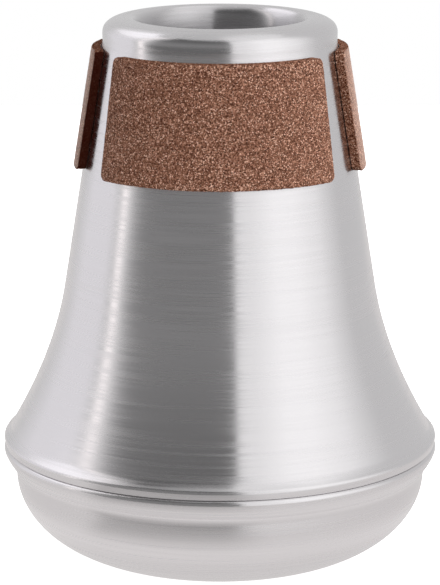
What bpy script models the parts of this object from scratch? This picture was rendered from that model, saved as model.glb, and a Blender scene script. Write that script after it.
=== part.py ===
"""Straight mute for a euphonium: a spun shell, a spun end cap and three cork pads.

The mute stands on its closed end, centred on the Z axis, with its open mouth up.
The front pad faces -Y. All sizes are real ones, in metres.
"""

import math

import bmesh
import bpy

MM = 0.001

# Overall sizes
OVERALL_HEIGHT = 244.0 * MM
BEAD_DIAMETER = 196.0 * MM
SHEET_THICKNESS = 1.0 * MM

# Neck: a plain cone that carries the cork; drops are measured down from the top of the lip
NECK_TOP_DROP = 15.5 * MM
NECK_TOP_RADIUS = 52.9 * MM
NECK_ANGLE = math.radians(9.1)

# Mouth: the waist lies inside the neck's top, and the rim stands a little proud of the waist
THROAT_RADIUS = 33.6 * MM
THROAT_DEPTH = 18.0 * MM
LIP_CREST_RADIUS = 39.8 * MM
LIP_INNER_DROP = 16.0 * MM
RIM_PROUD = 0.1 * MM
RIM_DROP = 7.0 * MM
WAIST_INSET = 1.1 * MM
WAIST_DROP = 9.8 * MM

# Flare: the neck opens out to the hem
FLARE_TOP_HEIGHT = 124.0 * MM
FLARE_END_ANGLE = math.radians(30.5)

# Seam between the shell's hem and the cap's bead: the hem leans in to it from a round corner
SEAM_HEIGHT = 51.1 * MM
SEAM_GAP = 0.3 * MM
HEM_INSET = 0.1 * MM
HEM_RISE = 2.8 * MM
HEM_LEAN = math.radians(10.0)
HEM_CORNER_RADIUS = 2.0 * MM
LEDGE_ANGLE = math.radians(46.7)
LEDGE_LENGTH = 3.1 * MM
COLLAR_LENGTH = 7.0 * MM
COLLAR_GAP = 0.4 * MM

# End cap: the bead has a small corner at its top and a slow underside, then come cove and bowl
BEAD_CORNER_RADIUS = 2.1 * MM
BEAD_CORNER_TOP = math.radians(45.0)
BEAD_CORNER_FOOT = math.radians(20.9)
BEAD_RADIUS = 20.4 * MM
BEAD_TURN = math.radians(41.4)
COVE_RADIUS = 6.2 * MM
BASE_RADIUS = 41.5 * MM

# Cork pads: the gaps between them are stated at their top and bottom edges
PAD_COUNT = 3
PAD_THICKNESS = 4.0 * MM
GLUE_GAP = 0.3 * MM
PAD_TOP_DROP = 12.8 * MM
PAD_HEIGHT = 53.0 * MM
SIDE_GAP_TOP = math.radians(19.3)
SIDE_GAP_BOTTOM = math.radians(21.6)
REAR_GAP_TOP = math.radians(5.5)
REAR_GAP_BOTTOM = math.radians(8.7)
FRONT_PAD_BEARING = math.radians(-1.5)
PAD_CORNER_RADIUS = 3.0 * MM

# Mesh fineness
TURN_STEPS = 60
MERGE_DISTANCE = 0.01 * MM
LIP_STEPS = 6
SHOULDER_STEPS = 6
UNDER_RIM_STEPS = 1
NECK_LEAD_STEPS = 3
FLARE_STEPS = 9
HEM_STEPS = 3
BEAD_CORNER_STEPS = 4
BEAD_STEPS = 3
COVE_STEPS = 4
BOWL_STEPS = 9
PAD_COLUMNS = 20
PAD_ROWS = 3
PAD_CORNER_STEPS = 4

# Finishes: colour, roughness, metallic
ALUMINIUM = ((0.80, 0.79, 0.80), 0.28, 1.0)
CORK = ((0.25, 0.12, 0.075), 0.9, 0.0)


def clear_scene():
    """Remove the objects that a new file starts with."""
    for old in list(bpy.data.objects):
        bpy.data.objects.remove(old, do_unlink=True)


def finish_material(name, finish):
    """A plain Principled material with the finish's colour, roughness and metallic value."""
    colour, roughness, metallic = finish
    material = bpy.data.materials.new(name)
    material.use_nodes = True
    shader = material.node_tree.nodes["Principled BSDF"]
    shader.inputs["Base Color"].default_value = (*colour, 1.0)
    shader.inputs["Roughness"].default_value = roughness
    shader.inputs["Metallic"].default_value = metallic
    return material


def arc(centre, half_axes, start, end, steps):
    """Points (radius, height) along an elliptical arc, angles in radians up from +radius."""
    points = []
    for step in range(steps + 1):
        angle = start + (end - start) * step / steps
        radius = centre[0] + half_axes[0] * math.cos(angle)
        height = centre[1] + half_axes[1] * math.sin(angle)
        points.append((radius, height))
    return points


def blend(top, top_slope, bottom, bottom_slope, steps):
    """Points down a smooth wall; a slope is the radius gained for each unit of height lost."""
    points = []
    fall = top[1] - bottom[1]
    for step in range(steps + 1):
        t = step / steps
        radius = (
            (2 * t**3 - 3 * t**2 + 1) * top[0]
            + (t**3 - 2 * t**2 + t) * fall * top_slope
            + (3 * t**2 - 2 * t**3) * bottom[0]
            + (t**3 - t**2) * fall * bottom_slope
        )
        points.append((radius, top[1] - fall * t))
    return points


def neck_radius(height):
    """Outer radius of the conical neck at a height."""
    return NECK_TOP_RADIUS + (OVERALL_HEIGHT - NECK_TOP_DROP - height) * math.tan(NECK_ANGLE)


def hem_corner():
    """Centre of the round corner that turns the shell's ledge down into the hem."""
    radius = BEAD_DIAMETER / 2 - HEM_INSET - HEM_CORNER_RADIUS
    return (radius, SEAM_HEIGHT + SEAM_GAP / 2 + HEM_RISE)


def hem_foot():
    """Where the hem, leaning in from its corner, ends at the seam."""
    centre = hem_corner()
    corner_radius = centre[0] + HEM_CORNER_RADIUS * math.cos(HEM_LEAN)
    fall = HEM_RISE - HEM_CORNER_RADIUS * math.sin(HEM_LEAN)
    return (corner_radius - fall * math.tan(HEM_LEAN), centre[1] - HEM_RISE)


def flare_end():
    """Where the flare meets the ledge above the hem."""
    centre = hem_corner()
    return (
        centre[0] + HEM_CORNER_RADIUS * math.cos(LEDGE_ANGLE) - LEDGE_LENGTH * math.sin(LEDGE_ANGLE),
        centre[1] + HEM_CORNER_RADIUS * math.sin(LEDGE_ANGLE) + LEDGE_LENGTH * math.cos(LEDGE_ANGLE),
    )


def flare_outline():
    """Outer wall from the foot of the neck to the ledge."""
    top = (neck_radius(FLARE_TOP_HEIGHT), FLARE_TOP_HEIGHT)
    return blend(top, math.tan(NECK_ANGLE), flare_end(), math.tan(FLARE_END_ANGLE), FLARE_STEPS)


def shell_outline():
    """The shell's outer side, from the foot of the throat over the lip and down to the seam."""
    lip_top = OVERALL_HEIGHT
    neck_top = (NECK_TOP_RADIUS, lip_top - NECK_TOP_DROP)
    waist = (NECK_TOP_RADIUS - WAIST_INSET, lip_top - WAIST_DROP)
    rim = (waist[0] + RIM_PROUD, lip_top - RIM_DROP)

    throat = [(THROAT_RADIUS, lip_top - THROAT_DEPTH)]
    inner_centre = (LIP_CREST_RADIUS, lip_top - LIP_INNER_DROP)
    inner_axes = (LIP_CREST_RADIUS - THROAT_RADIUS, LIP_INNER_DROP)
    inner_lip = arc(inner_centre, inner_axes, math.pi, math.pi / 2, LIP_STEPS)
    shoulder_centre = (LIP_CREST_RADIUS, rim[1])
    shoulder_axes = (rim[0] - LIP_CREST_RADIUS, RIM_DROP)
    shoulder = arc(shoulder_centre, shoulder_axes, math.pi / 2, 0.0, SHOULDER_STEPS)
    under_rim = blend(rim, 0.0, waist, 0.0, UNDER_RIM_STEPS)
    neck_lead = blend(waist, 0.0, neck_top, math.tan(NECK_ANGLE), NECK_LEAD_STEPS)
    hem = arc(hem_corner(), (HEM_CORNER_RADIUS, HEM_CORNER_RADIUS), LEDGE_ANGLE, -HEM_LEAN, HEM_STEPS)
    mouth = throat + inner_lip + shoulder[1:] + under_rim[1:]
    return mouth + neck_lead[1:] + flare_outline() + hem + [hem_foot()]


def cap_outline():
    """The cap's outer side, from the top of its hidden collar down to the middle of the base."""
    # The collar lies inside the flare and the hem, and stands on the bead's narrow top
    lining = SHEET_THICKNESS + COLLAR_GAP
    inset = lining / math.cos(FLARE_END_ANGLE)
    end_radius, end_height = flare_end()
    bead_top = SEAM_HEIGHT - SEAM_GAP / 2
    collar = [
        (end_radius - inset - COLLAR_LENGTH * math.tan(FLARE_END_ANGLE), end_height + COLLAR_LENGTH),
        (end_radius - inset, end_height),
        (hem_foot()[0] - lining / math.cos(HEM_LEAN), bead_top),
    ]

    # The bead's small corner runs on into its slow underside, which has the same tangent there
    corner_centre = (
        BEAD_DIAMETER / 2 - BEAD_CORNER_RADIUS,
        bead_top - BEAD_CORNER_RADIUS * math.sin(BEAD_CORNER_TOP),
    )
    corner_axes = (BEAD_CORNER_RADIUS, BEAD_CORNER_RADIUS)
    corner = arc(corner_centre, corner_axes, BEAD_CORNER_TOP, -BEAD_CORNER_FOOT, BEAD_CORNER_STEPS)
    inward = BEAD_RADIUS - BEAD_CORNER_RADIUS
    bead_centre = (
        corner_centre[0] - inward * math.cos(BEAD_CORNER_FOOT),
        corner_centre[1] + inward * math.sin(BEAD_CORNER_FOOT),
    )
    bead = arc(bead_centre, (BEAD_RADIUS, BEAD_RADIUS), -BEAD_CORNER_FOOT, -BEAD_TURN, BEAD_STEPS)

    # The cove turns back to the bowl's upright wall
    reach = BEAD_RADIUS + COVE_RADIUS
    cove_centre = (
        bead_centre[0] + reach * math.cos(BEAD_TURN),
        bead_centre[1] - reach * math.sin(BEAD_TURN),
    )
    cove = arc(cove_centre, (COVE_RADIUS, COVE_RADIUS), math.pi - BEAD_TURN, math.pi, COVE_STEPS)

    wall_radius, wall_height = cove[-1]
    bowl_axes = (wall_radius - BASE_RADIUS, wall_height)
    bowl = arc((BASE_RADIUS, wall_height), bowl_axes, 0.0, -math.pi / 2, BOWL_STEPS)
    return collar + corner + bead[1:] + cove[1:] + bowl[1:] + [(0.0, 0.0)]


def turned_shell(name, outline, finish, collection):
    """Turn an open outline about Z and give it the sheet's thickness on its inner side."""
    mesh = bpy.data.meshes.new(name)
    points = [(radius, 0.0, height) for radius, height in outline]
    edges = [(index, index + 1) for index in range(len(points) - 1)]
    mesh.from_pydata(points, edges, [])
    shell = bpy.data.objects.new(name, mesh)
    collection.objects.link(shell)
    shell.data.materials.append(finish_material(name, finish))

    turn = shell.modifiers.new("turn", "SCREW")
    turn.axis = "Z"
    turn.steps = TURN_STEPS
    turn.render_steps = TURN_STEPS
    turn.use_merge_vertices = True
    turn.merge_threshold = MERGE_DISTANCE
    turn.use_smooth_shade = True

    wall = shell.modifiers.new("sheet", "SOLIDIFY")
    wall.thickness = SHEET_THICKNESS
    wall.offset = -1.0
    wall.use_even_offset = True
    return shell


def pad_half_angle(share):
    """Half the angle that a pad covers, at a share of the way down it."""
    top = (2 * math.pi - 2 * SIDE_GAP_TOP - REAR_GAP_TOP) / (2 * PAD_COUNT)
    bottom = (2 * math.pi - 2 * SIDE_GAP_BOTTOM - REAR_GAP_BOTTOM) / (2 * PAD_COUNT)
    return top + (bottom - top) * share


def cork_pad(name, bearing, collection):
    """A sheet of cork with round corners, bent round the neck and facing -Y before it is turned."""
    pad_mesh = bmesh.new()
    bmesh.ops.create_grid(pad_mesh, x_segments=PAD_COLUMNS, y_segments=PAD_ROWS, size=1.0)
    corners = [vert for vert in pad_mesh.verts if len(vert.link_faces) == 1]
    for vert in pad_mesh.verts:
        across, up = vert.co.x, vert.co.y
        share = (1.0 - up) / 2
        height = OVERALL_HEIGHT - PAD_TOP_DROP - share * PAD_HEIGHT
        radius = neck_radius(height) + GLUE_GAP
        angle = across * pad_half_angle(share)
        vert.co = (radius * math.sin(angle), -radius * math.cos(angle), height)
    bmesh.ops.bevel(
        pad_mesh,
        geom=corners,
        offset=PAD_CORNER_RADIUS,
        offset_type="OFFSET",
        segments=PAD_CORNER_STEPS,
        profile=0.5,
        affect="VERTICES",
    )
    mesh = bpy.data.meshes.new(name)
    pad_mesh.to_mesh(mesh)
    pad_mesh.free()

    pad = bpy.data.objects.new(name, mesh)
    pad.rotation_euler.z = bearing
    collection.objects.link(pad)
    pad.data.materials.append(finish_material(name, CORK))

    sheet = pad.modifiers.new("cork", "SOLIDIFY")
    sheet.thickness = PAD_THICKNESS
    sheet.offset = 1.0
    sheet.use_even_offset = True
    return pad


def build_mute():
    """Make the five pieces and hang them on one empty."""
    clear_scene()
    collection = bpy.data.collections.new("euphonium_straight_mute")
    bpy.context.scene.collection.children.link(collection)
    base = bpy.data.objects.new("mute", None)
    collection.objects.link(base)

    pieces = [
        turned_shell("body_shell", shell_outline(), ALUMINIUM, collection),
        turned_shell("end_cap", cap_outline(), ALUMINIUM, collection),
    ]
    pitch = 2 * pad_half_angle(0.0) + SIDE_GAP_TOP
    pieces.append(cork_pad("cork_front", FRONT_PAD_BEARING, collection))
    pieces.append(cork_pad("cork_right", FRONT_PAD_BEARING + pitch, collection))
    pieces.append(cork_pad("cork_left", FRONT_PAD_BEARING - pitch, collection))
    for piece in pieces:
        piece.parent = base


build_mute()
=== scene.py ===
import math

import bmesh
import bpy
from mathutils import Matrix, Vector, noise


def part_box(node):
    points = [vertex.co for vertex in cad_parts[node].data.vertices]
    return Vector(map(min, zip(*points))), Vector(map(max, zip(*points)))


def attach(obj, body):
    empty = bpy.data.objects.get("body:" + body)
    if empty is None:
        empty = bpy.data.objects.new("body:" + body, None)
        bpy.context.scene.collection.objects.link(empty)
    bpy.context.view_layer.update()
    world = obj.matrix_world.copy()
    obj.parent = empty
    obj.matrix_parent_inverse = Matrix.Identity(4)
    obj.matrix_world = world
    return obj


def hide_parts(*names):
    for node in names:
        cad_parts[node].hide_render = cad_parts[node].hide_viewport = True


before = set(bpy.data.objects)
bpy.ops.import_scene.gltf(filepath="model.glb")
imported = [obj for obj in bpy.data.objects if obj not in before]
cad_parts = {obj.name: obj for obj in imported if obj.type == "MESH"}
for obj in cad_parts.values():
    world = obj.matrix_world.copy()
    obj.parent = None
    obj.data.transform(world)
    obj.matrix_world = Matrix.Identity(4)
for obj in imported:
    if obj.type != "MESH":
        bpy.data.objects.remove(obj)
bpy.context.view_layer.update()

# The spun body. One disc of 1 mm aluminium sheet is spun over a former into the flare and the neck,
# and its small end is rolled in to a funnel that makes the mouth. Fine tool lines run round it from
# the lathe. A narrow hem at its large end leans in to the seam.
MM = 0.001
SHEET = 1.0 * MM
TURN_STEPS = 240
MERGE_DISTANCE = 0.01 * MM
SHARP_ANGLE = math.radians(40)
SHELL_LOW, SHELL_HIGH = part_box("body_shell")
CAP_LOW, CAP_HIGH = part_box("end_cap")
MOUTH_HEIGHT = SHELL_HIGH.z
NECK_TOP_DROP = 15.5 * MM
NECK_TOP_RADIUS = 52.9 * MM
NECK_SLOPE = math.tan(math.radians(9.1))
THROAT_RADIUS = 33.6 * MM
THROAT_DEPTH = 18.0 * MM
LIP_CREST_RADIUS = 39.8 * MM
LIP_INNER_DROP = 16.0 * MM
RIM_PROUD = 0.1 * MM
RIM_DROP = 7.0 * MM
SHOULDER_FULLNESS = 2.45
WAIST_INSET = 1.1 * MM
WAIST_DROP = 9.8 * MM
FLARE_TOP_HEIGHT = 124.0 * MM
FLARE_END_ANGLE = math.radians(30.5)
HEM_RADIUS = SHELL_HIGH.x
HEM_RISE = 2.8 * MM
HEM_LEAN = math.radians(10.0)
HEM_CORNER = 2.0 * MM
HEM_CURL = 1.2 * MM
HEM_CURL_END = math.radians(60.0)
LEDGE_ANGLE = math.radians(46.7)
LEDGE_LENGTH = 3.1 * MM
SEAM_CLOSED_BY = 0.25 * MM


def arc_points(centre, half_axes, start, end, steps):
    """Radius and height along an arc, whose angles rise from straight out."""
    turns = [start + (end - start) * step / steps for step in range(steps + 1)]
    return [(centre[0] + half_axes[0] * math.cos(t), centre[1] + half_axes[1] * math.sin(t)) for t in turns]


def shoulder_points(centre, half_axes, fullness, steps):
    """Radius and height from a crest out to the widest place, fuller than an ellipse above 2."""
    points = []
    for step in range(steps + 1):
        turn = math.pi / 2 * (1 - step / steps)
        out = math.cos(turn) ** (2 / fullness)
        up = math.sin(turn) ** (2 / fullness)
        points.append((centre[0] + half_axes[0] * out, centre[1] + half_axes[1] * up))
    return points


def wall_points(top, top_slope, foot, foot_slope, steps):
    """Radius and height down a smooth wall, whose slopes are radius gained for height lost."""
    fall = top[1] - foot[1]
    points = []
    for step in range(steps + 1):
        t = step / steps
        from_top = (2 * t**3 - 3 * t**2 + 1) * top[0] + (t**3 - 2 * t**2 + t) * fall * top_slope
        from_foot = (3 * t**2 - 2 * t**3) * foot[0] + (t**3 - t**2) * fall * foot_slope
        points.append((from_top + from_foot, top[1] - fall * t))
    return points


def neck_radius(height):
    """Outer radius of the neck's cone."""
    return NECK_TOP_RADIUS + (MOUTH_HEIGHT - NECK_TOP_DROP - height) * NECK_SLOPE


def turned_sheet(name, outline):
    """Turns an outline about Z, closes its pole and gives it the sheet's thickness on the inside."""
    sheet = bmesh.new()
    verts = [sheet.verts.new((radius, 0.0, height)) for radius, height in outline]
    edges = [sheet.edges.new(pair) for pair in zip(verts, verts[1:])]
    bmesh.ops.spin(
        sheet,
        geom=verts + edges,
        cent=(0, 0, 0),
        axis=(0, 0, 1),
        angle=2 * math.pi,
        steps=TURN_STEPS,
        use_merge=True,
    )
    bmesh.ops.remove_doubles(sheet, verts=sheet.verts, dist=MERGE_DISTANCE)
    bmesh.ops.recalc_face_normals(sheet, faces=sheet.faces)
    widest = max(sheet.faces, key=lambda face: face.calc_center_median().xy.length)
    if widest.normal.xy.dot(widest.calc_center_median().xy) < 0:
        bmesh.ops.reverse_faces(sheet, faces=sheet.faces)
    bmesh.ops.solidify(sheet, geom=sheet.faces, thickness=SHEET)
    mesh = bpy.data.meshes.new(name)
    sheet.to_mesh(mesh)
    sheet.free()
    mesh.shade_smooth()
    mesh.set_sharp_from_angle(angle=SHARP_ANGLE)
    piece = bpy.data.objects.new(name, mesh)
    bpy.context.scene.collection.objects.link(piece)
    return piece


hem_centre = (HEM_RADIUS - HEM_CORNER, SHELL_LOW.z + HEM_RISE)
curl_fall = HEM_CURL * (math.sin(HEM_CURL_END) - math.sin(HEM_LEAN))
lean_fall = HEM_RISE + SEAM_CLOSED_BY - HEM_CORNER * math.sin(HEM_LEAN) - curl_fall
curl_centre = (
    hem_centre[0] + (HEM_CORNER - HEM_CURL) * math.cos(HEM_LEAN) - lean_fall * math.tan(HEM_LEAN),
    SHELL_LOW.z - SEAM_CLOSED_BY + HEM_CURL * math.sin(HEM_CURL_END),
)
hem_foot = (curl_centre[0] + HEM_CURL * math.cos(HEM_CURL_END), SHELL_LOW.z - SEAM_CLOSED_BY)
flare_end = (
    hem_centre[0] + HEM_CORNER * math.cos(LEDGE_ANGLE) - LEDGE_LENGTH * math.sin(LEDGE_ANGLE),
    hem_centre[1] + HEM_CORNER * math.sin(LEDGE_ANGLE) + LEDGE_LENGTH * math.cos(LEDGE_ANGLE),
)
neck_top = (NECK_TOP_RADIUS, MOUTH_HEIGHT - NECK_TOP_DROP)
waist = (NECK_TOP_RADIUS - WAIST_INSET, MOUTH_HEIGHT - WAIST_DROP)
rim = (waist[0] + RIM_PROUD, MOUTH_HEIGHT - RIM_DROP)
flare_top = (neck_radius(FLARE_TOP_HEIGHT), FLARE_TOP_HEIGHT)
funnel_axes = (LIP_CREST_RADIUS - THROAT_RADIUS, LIP_INNER_DROP)
funnel_centre = (LIP_CREST_RADIUS, MOUTH_HEIGHT - LIP_INNER_DROP)
shoulder_axes = (rim[0] - LIP_CREST_RADIUS, RIM_DROP)

body_outline = [(THROAT_RADIUS, MOUTH_HEIGHT - THROAT_DEPTH)]
body_outline += arc_points(funnel_centre, funnel_axes, math.pi, math.pi / 2, 24)
body_outline += shoulder_points((LIP_CREST_RADIUS, rim[1]), shoulder_axes, SHOULDER_FULLNESS, 32)[1:]
body_outline += wall_points(rim, 0.0, waist, 0.0, 3)[1:]
body_outline += wall_points(waist, 0.0, neck_top, NECK_SLOPE, 8)[1:]
body_outline += wall_points(neck_top, NECK_SLOPE, flare_top, NECK_SLOPE, 20)[1:]
body_outline += wall_points(flare_top, NECK_SLOPE, flare_end, math.tan(FLARE_END_ANGLE), 48)[1:]
body_outline += arc_points(hem_centre, (HEM_CORNER, HEM_CORNER), LEDGE_ANGLE, -HEM_LEAN, 10)
body_outline += arc_points(curl_centre, (HEM_CURL, HEM_CURL), -HEM_LEAN, -HEM_CURL_END, 6)
spun_body = turned_sheet("spun_body", body_outline)


def spun_lines_group():
    """Lathe lines: long thin arcs round the axis, as a height and as a change of gloss."""
    group = bpy.data.node_groups.new("spun_lines", "ShaderNodeTree")
    for name in ("Fine Pitch", "Broad Pitch", "Reach"):
        group.interface.new_socket(name, in_out="INPUT", socket_type="NodeSocketFloat")
    for name in ("Height", "Gloss", "Radius"):
        group.interface.new_socket(name, in_out="OUTPUT", socket_type="NodeSocketFloat")
    nodes, links = group.nodes, group.links
    entry = nodes.new("NodeGroupInput")
    result = nodes.new("NodeGroupOutput")
    place = nodes.new("ShaderNodeTexCoord")
    split = nodes.new("ShaderNodeSeparateXYZ")
    links.new(place.outputs["Object"], split.inputs[0])

    flat = nodes.new("ShaderNodeCombineXYZ")
    links.new(split.outputs["X"], flat.inputs["X"])
    links.new(split.outputs["Y"], flat.inputs["Y"])
    radius = nodes.new("ShaderNodeVectorMath")
    radius.operation = "LENGTH"
    links.new(flat.outputs[0], radius.inputs[0])
    links.new(radius.outputs["Value"], result.inputs["Radius"])
    around = nodes.new("ShaderNodeVectorMath")
    around.operation = "NORMALIZE"
    links.new(flat.outputs[0], around.inputs[0])
    reach = nodes.new("ShaderNodeVectorMath")
    reach.operation = "SCALE"
    links.new(around.outputs[0], reach.inputs[0])
    links.new(entry.outputs["Reach"], reach.inputs["Scale"])
    bearing = nodes.new("ShaderNodeSeparateXYZ")
    links.new(reach.outputs[0], bearing.inputs[0])

    def lines_at(pitch_name):
        """Noise that is narrow across the lines, at one pitch, and long round the axis."""
        spot = nodes.new("ShaderNodeCombineXYZ")
        for source, target in ((radius.outputs["Value"], "X"), (split.outputs["Z"], "Y")):
            count = nodes.new("ShaderNodeMath")
            count.operation = "DIVIDE"
            links.new(source, count.inputs[0])
            links.new(entry.outputs[pitch_name], count.inputs[1])
            links.new(count.outputs[0], spot.inputs[target])
        links.new(bearing.outputs["X"], spot.inputs["Z"])
        lines = nodes.new("ShaderNodeTexNoise")
        lines.noise_dimensions = "4D"
        lines.inputs["Scale"].default_value = 1.0
        lines.inputs["Detail"].default_value = 0.0
        links.new(spot.outputs[0], lines.inputs["Vector"])
        links.new(bearing.outputs["Y"], lines.inputs["W"])
        return lines.outputs["Fac"]

    fine = lines_at("Fine Pitch")
    broad = lines_at("Broad Pitch")
    both = nodes.new("ShaderNodeMath")
    both.operation = "ADD"
    links.new(fine, both.inputs[0])
    links.new(broad, both.inputs[1])
    links.new(both.outputs[0], result.inputs["Height"])
    gloss = nodes.new("ShaderNodeMath")
    gloss.operation = "MULTIPLY"
    gloss.inputs[1].default_value = 0.5
    links.new(both.outputs[0], gloss.inputs[0])
    links.new(gloss.outputs[0], result.inputs["Gloss"])
    return group


SPUN_LINES = spun_lines_group()
FINE_PITCH = 0.85 * MM
BROAD_PITCH = 1.7 * MM
LINE_REACH = 1.3
LINE_HEIGHT = 0.003 * MM
ALUMINIUM_COLOUR = (0.80, 0.782, 0.795)
SATIN_ROUGHNESS = (0.19, 0.30)
GLOSS_RANGE = (0.35, 0.65)
LENGTHWISE_SPREAD = 0.74
QUARTER_TURN = 0.25
# Painted shade for the inside of the mouth: the funnel's colour darkens to this grey towards the throat.
THROAT_SHADE_COLOUR = (0.37, 0.36, 0.37)
FULL_SHADE_RADIUS = 33.9 * MM
SHADE_FREE_RADIUS = 38.2 * MM


def spun_aluminium(name):
    """Satin aluminium whose gloss spreads across the lathe lines and stays crisp along them."""
    material = bpy.data.materials.new(name)
    material.use_nodes = True
    nodes, links = material.node_tree.nodes, material.node_tree.links
    shader = nodes["Principled BSDF"]
    shader.inputs["Base Color"].default_value = (*ALUMINIUM_COLOUR, 1.0)
    shader.inputs["Metallic"].default_value = 1.0
    shader.inputs["Anisotropic"].default_value = LENGTHWISE_SPREAD
    shader.inputs["Anisotropic Rotation"].default_value = QUARTER_TURN
    lines = nodes.new("ShaderNodeGroup")
    lines.node_tree = SPUN_LINES
    lines.inputs["Fine Pitch"].default_value = FINE_PITCH
    lines.inputs["Broad Pitch"].default_value = BROAD_PITCH
    lines.inputs["Reach"].default_value = LINE_REACH

    satin = nodes.new("ShaderNodeMapRange")
    satin.inputs["From Min"].default_value = GLOSS_RANGE[0]
    satin.inputs["From Max"].default_value = GLOSS_RANGE[1]
    satin.inputs["To Min"].default_value = SATIN_ROUGHNESS[0]
    satin.inputs["To Max"].default_value = SATIN_ROUGHNESS[1]
    links.new(lines.outputs["Gloss"], satin.inputs["Value"])
    links.new(satin.outputs["Result"], shader.inputs["Roughness"])

    grooves = nodes.new("ShaderNodeBump")
    grooves.inputs["Strength"].default_value = 1.0
    grooves.inputs["Distance"].default_value = LINE_HEIGHT
    links.new(lines.outputs["Height"], grooves.inputs["Height"])
    links.new(grooves.outputs["Normal"], shader.inputs["Normal"])
    return material


def paint_throat_shade(material):
    """Painted shade inside the funnel: its colour turns greyer the deeper it goes, from the lip in to the
    throat.
    """
    nodes, links = material.node_tree.nodes, material.node_tree.links
    shader = nodes["Principled BSDF"]
    lines = next(node for node in nodes if node.type == "GROUP")
    depth = nodes.new("ShaderNodeMapRange")
    depth.inputs["From Min"].default_value = FULL_SHADE_RADIUS
    depth.inputs["From Max"].default_value = SHADE_FREE_RADIUS
    links.new(lines.outputs["Radius"], depth.inputs["Value"])
    metal = nodes.new("ShaderNodeMix")
    metal.data_type = "RGBA"
    metal.inputs["A"].default_value = (*THROAT_SHADE_COLOUR, 1.0)
    metal.inputs["B"].default_value = (*ALUMINIUM_COLOUR, 1.0)
    links.new(depth.outputs["Result"], metal.inputs["Factor"])
    links.new(metal.outputs["Result"], shader.inputs["Base Color"])


body_aluminium = spun_aluminium("spun_body_aluminium")
# The funnel's inside gets painted shade that deepens towards the throat.
paint_throat_shade(body_aluminium)
spun_body.data.materials.append(body_aluminium)
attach(spun_body, "root")
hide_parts("body_shell")

# The end cap. A second disc of the same sheet is spun into a shallow bowl with a beaded edge, which
# closes the large end. A short collar of it goes up inside the body, where the joint is made.
SEAM_GAP = 0.3 * MM
BEAD_TOP = SHELL_LOW.z - SEAM_GAP
BEAD_RADIUS_OUT = CAP_HIGH.x
BEAD_CORNER = 2.1 * MM
BEAD_CORNER_TOP = math.radians(65.0)
BEAD_CORNER_FOOT = math.radians(20.9)
BEAD_CURVE = 20.4 * MM
BEAD_TURN = math.radians(41.4)
COVE_CURVE = 6.2 * MM
BASE_RADIUS = 41.5 * MM
COLLAR_GAP = 0.4 * MM

lining = SHEET + COLLAR_GAP
collar_inset = lining / math.cos(FLARE_END_ANGLE)
collar_rise = CAP_HIGH.z - flare_end[1]
collar_top_radius = flare_end[0] - collar_inset - collar_rise * math.tan(FLARE_END_ANGLE)
corner_axes = (BEAD_CORNER, BEAD_CORNER)
corner_centre = (BEAD_RADIUS_OUT - BEAD_CORNER, BEAD_TOP - BEAD_CORNER * math.sin(BEAD_CORNER_TOP))
bead_axes = (BEAD_CURVE, BEAD_CURVE)
bead_centre = (
    corner_centre[0] - (BEAD_CURVE - BEAD_CORNER) * math.cos(BEAD_CORNER_FOOT),
    corner_centre[1] + (BEAD_CURVE - BEAD_CORNER) * math.sin(BEAD_CORNER_FOOT),
)
cove_axes = (COVE_CURVE, COVE_CURVE)
cove_centre = (
    bead_centre[0] + (BEAD_CURVE + COVE_CURVE) * math.cos(BEAD_TURN),
    bead_centre[1] - (BEAD_CURVE + COVE_CURVE) * math.sin(BEAD_TURN),
)
bowl_axes = (cove_centre[0] - COVE_CURVE - BASE_RADIUS, cove_centre[1])
bowl_centre = (BASE_RADIUS, cove_centre[1])

cap_outline = [
    (collar_top_radius, CAP_HIGH.z),
    (flare_end[0] - collar_inset, flare_end[1]),
    (hem_foot[0] - lining / math.cos(HEM_LEAN), BEAD_TOP),
]
cap_outline += arc_points(corner_centre, corner_axes, BEAD_CORNER_TOP, -BEAD_CORNER_FOOT, 10)
cap_outline += arc_points(bead_centre, bead_axes, -BEAD_CORNER_FOOT, -BEAD_TURN, 8)[1:]
cap_outline += arc_points(cove_centre, cove_axes, math.pi - BEAD_TURN, math.pi, 12)[1:]
cap_outline += arc_points(bowl_centre, bowl_axes, 0.0, -math.pi / 2, 36)[1:]
cap_outline += [(0.0, 0.0)]
spun_cap = turned_sheet("spun_cap", cap_outline)
spun_cap.data.materials.append(spun_aluminium("spun_cap_aluminium"))
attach(spun_cap, "root")
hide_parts("end_cap")

# The cork pads. Three strips with round corners are cut from 4 mm granulated cork sheet and glued
# round the neck, with a gap between them. Single grains stand proud and crumble at the cut edges.
PAD_COUNT = 3
PAD_THICKNESS = 4.0 * MM
GLUE_FILM = 0.3 * MM
PAD_TOP_DROP = 12.8 * MM
PAD_HEIGHT = 53.0 * MM
PAD_CORNER = 3.0 * MM
PAD_CORNER_STEPS = 8
PAD_LAYERS = 6
SIDE_GAPS = (math.radians(19.3), math.radians(21.6))
REAR_GAPS = (math.radians(5.5), math.radians(8.7))
FRONT_PAD_BEARING = math.radians(-1.5)
CORK_CELL = 0.55 * MM
GRAIN_SIZE = 0.43 * MM
GRAIN_RELIEF = 0.10 * MM
EDGE_BAND = 0.1 * MM
EDGE_CRUMBLE = 0.22 * MM
END_EDGE_DARKNESS = 0.40
CORK_SHARP_ANGLE = math.radians(50)


def pad_half_angle(share):
    """Half the angle that a pad covers, at a share of the way down it."""
    spans = [(2 * math.pi - 2 * side - rear) / (2 * PAD_COUNT) for side, rear in zip(SIDE_GAPS, REAR_GAPS)]
    return spans[0] + (spans[1] - spans[0]) * share


def edge_inset(from_side, from_end):
    """How far a spot lies inside the strip's outline, whose corners are round."""
    if from_side < PAD_CORNER and from_end < PAD_CORNER:
        return PAD_CORNER - math.hypot(PAD_CORNER - from_side, PAD_CORNER - from_end)
    return min(from_side, from_end)


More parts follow.
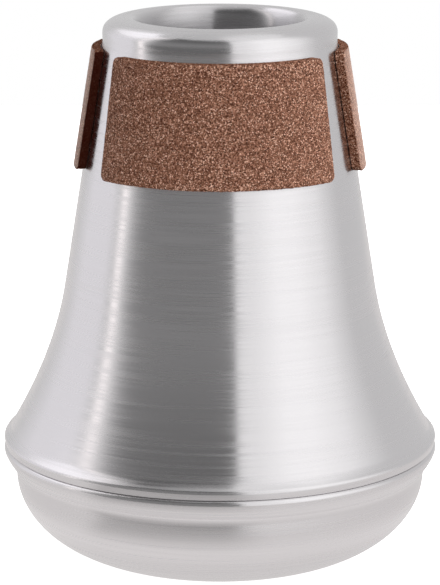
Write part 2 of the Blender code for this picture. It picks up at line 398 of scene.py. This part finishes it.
def cut_strip(half_width, half_height):
    """A flat strip with round corners, cut into small cells and raised to the pad's thickness."""
    strip = bmesh.new()
    bmesh.ops.create_grid(strip, x_segments=1, y_segments=1, size=1.0)
    bmesh.ops.scale(strip, vec=(half_width, half_height, 1.0), verts=strip.verts)
    bmesh.ops.bevel(
        strip,
        geom=list(strip.verts),
        offset=PAD_CORNER,
        offset_type="OFFSET",
        segments=PAD_CORNER_STEPS,
        profile=0.5,
        affect="VERTICES",
        material=-1,
    )
    for extent, normal in ((half_width, Vector((1, 0, 0))), (half_height, Vector((0, 1, 0)))):
        cuts = int(2 * extent / CORK_CELL)
        for cut in range(1, cuts):
            bmesh.ops.bisect_plane(
                strip,
                geom=strip.verts[:] + strip.edges[:] + strip.faces[:],
                plane_co=normal * (-extent + 2 * extent * cut / cuts),
                plane_no=normal,
            )
    layer = strip.faces[:]
    for step in range(PAD_LAYERS):
        below = layer
        raised = bmesh.ops.extrude_face_region(strip, geom=below, use_keep_orig=True)
        layer = [item for item in raised["geom"] if isinstance(item, bmesh.types.BMFace)]
        lifted = [item for item in raised["geom"] if isinstance(item, bmesh.types.BMVert)]
        bmesh.ops.translate(strip, vec=(0, 0, PAD_THICKNESS / PAD_LAYERS), verts=lifted)
        if step > 0:
            bmesh.ops.delete(strip, geom=below, context="FACES")
    bmesh.ops.recalc_face_normals(strip, faces=strip.faces)
    return strip


def cork_pad(name, bearing, seed, edge_darkness):
    """A cut strip is wrapped round the neck, with its grains proud and its edges crumbled."""
    half_width = neck_radius(MOUTH_HEIGHT - PAD_TOP_DROP - PAD_HEIGHT / 2) * pad_half_angle(0.5)
    half_height = PAD_HEIGHT / 2
    strip = cut_strip(half_width, half_height)
    cut_edge = strip.verts.layers.float.new("cut_edge")
    for vert in strip.verts:
        across, up, out = vert.co
        share = (half_height - up) / PAD_HEIGHT
        from_side, from_end = half_width - abs(across), half_height - abs(up)
        on_edge = edge_inset(from_side, from_end) < EDGE_BAND
        spot = Vector((across, up, out)) / GRAIN_SIZE + Vector((seed, 0, 0))
        grain = noise.noise(spot * 0.9) + 0.5 * noise.noise(spot * 2.1)
        height = MOUTH_HEIGHT - PAD_TOP_DROP - share * PAD_HEIGHT
        radius = neck_radius(height) + GLUE_FILM + out
        angle = across / half_width * pad_half_angle(share) + bearing
        if on_edge:
            # The cut edges are darkened towards a near black, by an amount set for each pad, and less at
            # the strip's ends.
            vert[cut_edge] = edge_darkness if from_side < from_end else min(edge_darkness, END_EDGE_DARKNESS)
            crumble = EDGE_CRUMBLE * (noise.noise(spot * 0.6 + Vector((0, 40, 0))) - 0.25)
            towards = Vector((across / half_width, up / half_height)).normalized()
            height += crumble * towards.y
            angle += crumble * towards.x / radius
        if out > PAD_THICKNESS * 0.99:
            radius += GRAIN_RELIEF * (grain - 0.5)
            if on_edge:
                radius -= EDGE_CRUMBLE * (0.6 + 0.4 * grain)
        vert.co = (radius * math.sin(angle), -radius * math.cos(angle), height)
    for face in strip.faces:
        if all(vert[cut_edge] > 0 for vert in face.verts):
            face.material_index = 1
    mesh = bpy.data.meshes.new(name)
    strip.to_mesh(mesh)
    strip.free()
    mesh.shade_smooth()
    mesh.set_sharp_from_angle(angle=CORK_SHARP_ANGLE)
    pad = bpy.data.objects.new(name, mesh)
    bpy.context.scene.collection.objects.link(pad)
    return pad


DARK_GRAIN = (0.045, 0.012, 0.004)
BROWN_GRAIN = (0.205, 0.088, 0.054)
TAN_GRAIN = (0.400, 0.200, 0.132)
PALE_GRAIN = (0.760, 0.500, 0.380)
GRAIN_TONES = ((0.0, DARK_GRAIN), (0.5, BROWN_GRAIN), (0.86, TAN_GRAIN), (1.0, PALE_GRAIN))
PIT_COLOUR = (0.025, 0.006, 0.002)
PIT_RANGE = (0.57, 0.68)
DARK_EDGE_COLOUR = (0.028, 0.004, 0.002)
CORK_ROUGHNESS = 0.85
CORK_GLOSS = 0.15
CORK_FUZZ = 0.65
CORK_FUZZ_ROUGHNESS = 0.3
CORK_FUZZ_TINT = (1.0, 0.84, 0.76)
GRAIN_BUMP = 0.8


def granulated_cork(name, gloss, fuzz):
    """Pressed cork grains, each its own brown, with dark pits and binder between them."""
    material = bpy.data.materials.new(name)
    material.use_nodes = True
    nodes, links = material.node_tree.nodes, material.node_tree.links
    shader = nodes["Principled BSDF"]
    shader.inputs["Roughness"].default_value = CORK_ROUGHNESS
    shader.inputs["Specular IOR Level"].default_value = gloss
    shader.inputs["Sheen Weight"].default_value = fuzz
    shader.inputs["Sheen Roughness"].default_value = CORK_FUZZ_ROUGHNESS
    shader.inputs["Sheen Tint"].default_value = (*CORK_FUZZ_TINT, 1.0)
    place = nodes.new("ShaderNodeTexCoord")
    grains = nodes.new("ShaderNodeTexVoronoi")
    grains.inputs["Scale"].default_value = 1.0 / GRAIN_SIZE
    links.new(place.outputs["Object"], grains.inputs["Vector"])
    pick = nodes.new("ShaderNodeSeparateColor")
    links.new(grains.outputs["Color"], pick.inputs[0])
    tones = nodes.new("ShaderNodeValToRGB")
    tone_stops = tones.color_ramp.elements
    tone_stops[0].color = (*DARK_GRAIN, 1.0)
    tone_stops[1].color = (*PALE_GRAIN, 1.0)
    for position, tone in GRAIN_TONES[1:-1]:
        tone_stops.new(position).color = (*tone, 1.0)
    links.new(pick.outputs[0], tones.inputs["Fac"])

    pits = nodes.new("ShaderNodeTexNoise")
    pits.inputs["Scale"].default_value = 1.0 / GRAIN_SIZE
    pits.inputs["Detail"].default_value = 1.0
    links.new(place.outputs["Object"], pits.inputs["Vector"])
    pit_share = nodes.new("ShaderNodeMapRange")
    pit_share.inputs["From Min"].default_value = PIT_RANGE[0]
    pit_share.inputs["From Max"].default_value = PIT_RANGE[1]
    links.new(pits.outputs["Fac"], pit_share.inputs["Value"])
    pitted = nodes.new("ShaderNodeMix")
    pitted.data_type = "RGBA"
    pitted.inputs["B"].default_value = (*PIT_COLOUR, 1.0)
    links.new(pit_share.outputs["Result"], pitted.inputs["Factor"])
    links.new(tones.outputs["Color"], pitted.inputs["A"])

    # Faces on the cut edges are darkened towards a near black, by the amount that each vertex carries.
    edge = nodes.new("ShaderNodeAttribute")
    edge.attribute_name = "cut_edge"
    cut = nodes.new("ShaderNodeMix")
    cut.data_type = "RGBA"
    cut.inputs["B"].default_value = (*DARK_EDGE_COLOUR, 1.0)
    links.new(edge.outputs["Fac"], cut.inputs["Factor"])
    links.new(pitted.outputs["Result"], cut.inputs["A"])
    links.new(cut.outputs["Result"], shader.inputs["Base Color"])

    relief = nodes.new("ShaderNodeBump")
    relief.inputs["Strength"].default_value = GRAIN_BUMP
    relief.inputs["Distance"].default_value = GRAIN_RELIEF
    relief.invert = True
    links.new(grains.outputs["Distance"], relief.inputs["Height"])
    links.new(relief.outputs["Normal"], shader.inputs["Normal"])
    return material


SANDED_CORK = granulated_cork("sanded_cork", CORK_GLOSS, CORK_FUZZ)
CUT_CORK = granulated_cork("cut_cork", 0.0, 0.0)
PAD_PITCH = 2 * pad_half_angle(0.0) + SIDE_GAPS[0]
SEED_STEP = 50
# Each pad's cut edges are darkened by their own amount: the left pad's nearly to black, the front's and
# right's a little.
PADS = (("front", 0, 0.20), ("right", 1, 0.30), ("left", -1, 0.95))
for index, (side, turns, edge_darkness) in enumerate(PADS):
    bearing = FRONT_PAD_BEARING + turns * PAD_PITCH
    pad = cork_pad("cork_pad_" + side, bearing, SEED_STEP * index, edge_darkness)
    pad.data.materials.append(SANDED_CORK)
    pad.data.materials.append(CUT_CORK)
    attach(pad, "root")
    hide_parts("cork_" + side)

# The white table. It is a smooth pale board that ends a little in front of the mute. It glows to the
# camera, so that it reads as plain white ground with a shadow. The metal sees a painted reflection of it:
# a glow with a painted highlight round the mute, painted shade under the bowl, a plain level further out,
# and a painted shadow at the front on the left, where it faces the dark screen.
TABLE_HALF_WIDTH = 0.6
TABLE_FRONT = -0.22
TABLE_BACK = 1.2
TABLE_DROP = 0.05 * MM
TABLE_WHITE = (0.80, 0.79, 0.79)
TABLE_ROUGHNESS = 0.9
TABLE_GLOW = 0.8
TABLE_TINT = (1.0, 0.975, 0.965)
BRIGHT_LEVEL = 0.82
SHADED_LEVEL = 0.74
PLAIN_LEVEL = 0.71
DIM_LEVEL = 0.50
SHADED_RING = (0.080, 0.096)
BRIGHT_RING = (0.098, 0.135)
DIM_EDGE = (-0.02, 0.02)
DIM_RIGHT_SLOPE = math.tan(math.radians(11.0))
DIM_LEFT_SLOPE = math.tan(math.radians(53.0))

board_mesh = bmesh.new()
bmesh.ops.create_grid(board_mesh, x_segments=1, y_segments=1, size=1.0)
board_half_depth = (TABLE_BACK - TABLE_FRONT) / 2
bmesh.ops.scale(board_mesh, vec=(TABLE_HALF_WIDTH, board_half_depth, 1.0), verts=board_mesh.verts)
board_middle = (0, (TABLE_BACK + TABLE_FRONT) / 2, -TABLE_DROP)
bmesh.ops.translate(board_mesh, vec=board_middle, verts=board_mesh.verts)
table_data = bpy.data.meshes.new("table")
board_mesh.to_mesh(table_data)
board_mesh.free()
table = bpy.data.objects.new("table", table_data)
bpy.context.scene.collection.objects.link(table)

white_board = bpy.data.materials.new("white_board")
white_board.use_nodes = True
board_nodes, board_links = white_board.node_tree.nodes, white_board.node_tree.links
board = board_nodes["Principled BSDF"]
board.inputs["Base Color"].default_value = (*TABLE_WHITE, 1.0)
board.inputs["Roughness"].default_value = TABLE_ROUGHNESS
seen_by = board_nodes.new("ShaderNodeLightPath")
camera_glow = board_nodes.new("ShaderNodeMath")
camera_glow.operation = "MULTIPLY"
camera_glow.inputs[1].default_value = TABLE_GLOW
board_links.new(seen_by.outputs["Is Camera Ray"], camera_glow.inputs[0])
board.inputs["Emission Color"].default_value = (1.0, 1.0, 1.0, 1.0)
board_links.new(camera_glow.outputs[0], board.inputs["Emission Strength"])

board_place = board_nodes.new("ShaderNodeTexCoord")
board_split = board_nodes.new("ShaderNodeSeparateXYZ")
board_links.new(board_place.outputs["Object"], board_split.inputs[0])
from_axis = board_nodes.new("ShaderNodeVectorMath")
from_axis.operation = "LENGTH"
board_links.new(board_place.outputs["Object"], from_axis.inputs[0])


def board_ramp(source, start_end, levels=(0.0, 1.0)):
    """A level that runs from one value to another between two places on the board."""
    ramp = board_nodes.new("ShaderNodeMapRange")
    ramp.inputs["From Min"].default_value = start_end[0]
    ramp.inputs["From Max"].default_value = start_end[1]
    ramp.inputs["To Min"].default_value = levels[0]
    ramp.inputs["To Max"].default_value = levels[1]
    board_links.new(source, ramp.inputs["Value"])
    return ramp.outputs["Result"]


def beside_line(slope, side):
    """How far a spot lies to one side of a line that runs out from the axis towards the front."""
    distance = board_nodes.new("ShaderNodeMath")
    distance.operation = "MULTIPLY_ADD"
    distance.inputs[1].default_value = -slope
    board_links.new(board_split.outputs["Y"], distance.inputs[0])
    across = board_nodes.new("ShaderNodeMath")
    across.operation = "MULTIPLY"
    across.inputs[1].default_value = side
    board_links.new(board_split.outputs["X"], across.inputs[0])
    board_links.new(across.outputs[0], distance.inputs[2])
    return distance.outputs[0]


# Painted shadow: the wedge at the front on the left glows dimmer to the metal, as if shaded by the dark
# screen.
painted_shadow_share = board_nodes.new("ShaderNodeMath")
painted_shadow_share.operation = "MULTIPLY"
board_links.new(board_ramp(beside_line(DIM_RIGHT_SLOPE, -1.0), DIM_EDGE), painted_shadow_share.inputs[0])
board_links.new(board_ramp(beside_line(DIM_LEFT_SLOPE, 1.0), DIM_EDGE), painted_shadow_share.inputs[1])
# Painted light for the metal: a painted highlight ring round the mute and painted shade under the bowl.
painted_reflection_level = board_nodes.new("ShaderNodeMix")
outer_level = board_ramp(painted_shadow_share.outputs[0], (0.0, 1.0), (PLAIN_LEVEL, DIM_LEVEL))
inner_level = board_ramp(from_axis.outputs["Value"], SHADED_RING, (SHADED_LEVEL, BRIGHT_LEVEL))
inner_share = board_ramp(from_axis.outputs["Value"], BRIGHT_RING, (1.0, 0.0))
board_links.new(outer_level, painted_reflection_level.inputs["A"])
board_links.new(inner_level, painted_reflection_level.inputs["B"])
board_links.new(inner_share, painted_reflection_level.inputs["Factor"])
painted_reflection_glow = board_nodes.new("ShaderNodeEmission")
painted_reflection_glow.inputs["Color"].default_value = (*TABLE_TINT, 1.0)
board_links.new(painted_reflection_level.outputs["Result"], painted_reflection_glow.inputs["Strength"])
mirrored = board_nodes.new("ShaderNodeMath")
mirrored.operation = "MAXIMUM"
board_links.new(seen_by.outputs["Is Glossy Ray"], mirrored.inputs[0])
board_links.new(seen_by.outputs["Is Transmission Ray"], mirrored.inputs[1])
board_view = board_nodes.new("ShaderNodeMixShader")
board_links.new(mirrored.outputs[0], board_view.inputs["Fac"])
board_links.new(board.outputs[0], board_view.inputs[1])
board_links.new(painted_reflection_glow.outputs[0], board_view.inputs[2])
board_links.new(board_view.outputs[0], board_nodes["Material Output"].inputs["Surface"])
table.data.materials.append(white_board)

# The cloth screens. Plain bent screens stand round the mute in front of the white world, and only
# the camera looks past them. The metal shows a dark one in front and pale ones at the sides.
SCREEN_DISTANCE = 6.0
SCREEN_LAYER = 0.05
SCREEN_COLUMN = 2.0
SCREEN_ROWS = 24
SCREEN_FOOT = -60
WALL_TOP = 58
DARK_TOP = 66
HORIZON = 0
WARM_WHITE = (1.0, 0.955, 0.945)
COOL_WHITE = (0.98, 0.97, 1.0)
PURE_WHITE = (1.0, 1.0, 1.0)


def screen_cloth(name, tint):
    """Cloth that glows by its own level and thins out towards its soft edges."""
    material = bpy.data.materials.new(name)
    material.use_nodes = True
    nodes, links = material.node_tree.nodes, material.node_tree.links
    nodes.remove(nodes["Principled BSDF"])
    level = nodes.new("ShaderNodeAttribute")
    level.attribute_name = "level"
    cover = nodes.new("ShaderNodeAttribute")
    cover.attribute_name = "cover"
    glow = nodes.new("ShaderNodeEmission")
    glow.inputs["Color"].default_value = (*tint, 1.0)
    links.new(level.outputs["Fac"], glow.inputs["Strength"])
    gap = nodes.new("ShaderNodeBsdfTransparent")
    weave = nodes.new("ShaderNodeMixShader")
    links.new(cover.outputs["Fac"], weave.inputs["Fac"])
    links.new(gap.outputs[0], weave.inputs[1])
    links.new(glow.outputs[0], weave.inputs[2])
    links.new(weave.outputs[0], nodes["Material Output"].inputs["Surface"])
    return material


def studio_screen(name, layer, bearings, climbs, levels, soft_edges=(0, 0), fade=1, tint=PURE_WHITE):
    """Bends a screen between two bearings and two climbs, with a level at its foot and at its head."""
    width, rise = bearings[1] - bearings[0], climbs[1] - climbs[0]
    distance = SCREEN_DISTANCE - layer * SCREEN_LAYER
    screen = bmesh.new()
    columns = math.ceil(width / SCREEN_COLUMN)
    bmesh.ops.create_grid(screen, x_segments=columns, y_segments=SCREEN_ROWS, size=0.5)
    level = screen.verts.layers.float.new("level")
    cover = screen.verts.layers.float.new("cover")
    for vert in screen.verts:
        across, up = vert.co.x + 0.5, vert.co.y + 0.5
        insets = (across * width, (1 - across) * width)
        shares = [min(1.0, inset / soft) for inset, soft in zip(insets, soft_edges) if soft]
        vert[level] = levels[0] + (levels[1] - levels[0]) * up
        vert[cover] = 1 - (1 - min(shares, default=1.0)) ** fade
        bearing = math.radians(bearings[0] + across * width)
        climb = math.radians(climbs[0] + up * rise)
        out = distance * math.cos(climb)
        vert.co = (out * math.sin(bearing), -out * math.cos(bearing), distance * math.sin(climb))
    mesh = bpy.data.meshes.new(name)
    screen.to_mesh(mesh)
    screen.free()
    mesh.materials.append(screen_cloth(name + "_cloth", tint))
    piece = bpy.data.objects.new(name, mesh)
    piece.visible_camera = False
    bpy.context.scene.collection.objects.link(piece)


wall = (SCREEN_FOOT, WALL_TOP)
tall_wall = (SCREEN_FOOT, DARK_TOP)
studio_screen("pale_right", 0, (11, 110), wall, (0.92, 0.92))
studio_screen("bright_right", 1, (24, 90), wall, (1.12, 1.10), (20, 30))
studio_screen("grey_rear", 1, (84, 274), wall, (0.62, 0.62), (24, 0))
studio_screen("pale_rear_left", 2, (211, 272), wall, (0.85, 0.85), (24, 8), tint=COOL_WHITE)
studio_screen("bright_high_left", 3, (206, 274), (28, WALL_TOP), (1.15, 1.30), (12, 10), tint=COOL_WHITE)
studio_screen("bright_strip_left", 1, (273, 281), tall_wall, (1.25, 1.25), (2, 2), tint=WARM_WHITE)
studio_screen("dark_front", 2, (-81, 11), tall_wall, (0.50, 0.06), (26, 0), fade=3)
studio_screen("darker_foot", 3, (-81, 11), (SCREEN_FOOT, HORIZON), (0.14, 0.14), (26, 0), fade=3)
studio_screen("roof_right", 0, (11, 140), (WALL_TOP, 90), (0.85, 0.85))
studio_screen("roof_left", 0, (140, 371), (WALL_TOP, 90), (0.58, 0.62), (40, 0))

# The lamps and the world. A soft lamp in front and another behind on the right light the cork and the
# table, and the metal doesn't show them. The world is plain white.
LAMP_DISTANCE = 1.4
LAMP_SIZE = 0.7


def soft_lamp(name, bearing, climb, power):
    """A round soft lamp that stands at a bearing and a climb, and faces the mute."""
    lamp_data = bpy.data.lights.new(name, "AREA")
    lamp_data.shape = "DISK"
    lamp_data.size = LAMP_SIZE
    lamp_data.energy = power
    lamp = bpy.data.objects.new(name, lamp_data)
    level_reach = math.cos(climb)
    way = Vector((level_reach * math.sin(bearing), -level_reach * math.cos(bearing), math.sin(climb)))
    lamp.location = way * LAMP_DISTANCE
    lamp.rotation_euler = way.to_track_quat("Z", "Y").to_euler()
    lamp.visible_camera = False
    lamp.visible_glossy = False
    bpy.context.scene.collection.objects.link(lamp)


soft_lamp("front_lamp", math.radians(10), math.radians(42), 9.0)
soft_lamp("rear_right_lamp", math.radians(118), math.radians(30), 12.0)

studio = bpy.data.worlds.new("studio")
studio.use_nodes = True
studio.node_tree.nodes["Background"].inputs["Color"].default_value = (1.0, 1.0, 1.0, 1.0)
studio.node_tree.nodes["Background"].inputs["Strength"].default_value = 1.0
bpy.context.scene.world = studio
bpy.context.scene.view_settings.view_transform = "Standard"

# The camera. It stands at the photograph's distance, a little above the mute's mouth, and looks
# down at it.
CAMERA_DISTANCE = 1.2823
CAMERA_HEIGHT = 0.4219
CAMERA_TILT = math.radians(76.709)
CAMERA_LENS = 180.0
camera_data = bpy.data.cameras.new("camera")
camera_data.lens = CAMERA_LENS
camera = bpy.data.objects.new("camera", camera_data)
camera.location = (0.0, -CAMERA_DISTANCE, CAMERA_HEIGHT)
camera.rotation_euler = (CAMERA_TILT, 0.0, 0.0)
bpy.context.scene.collection.objects.link(camera)
bpy.context.scene.camera = camera
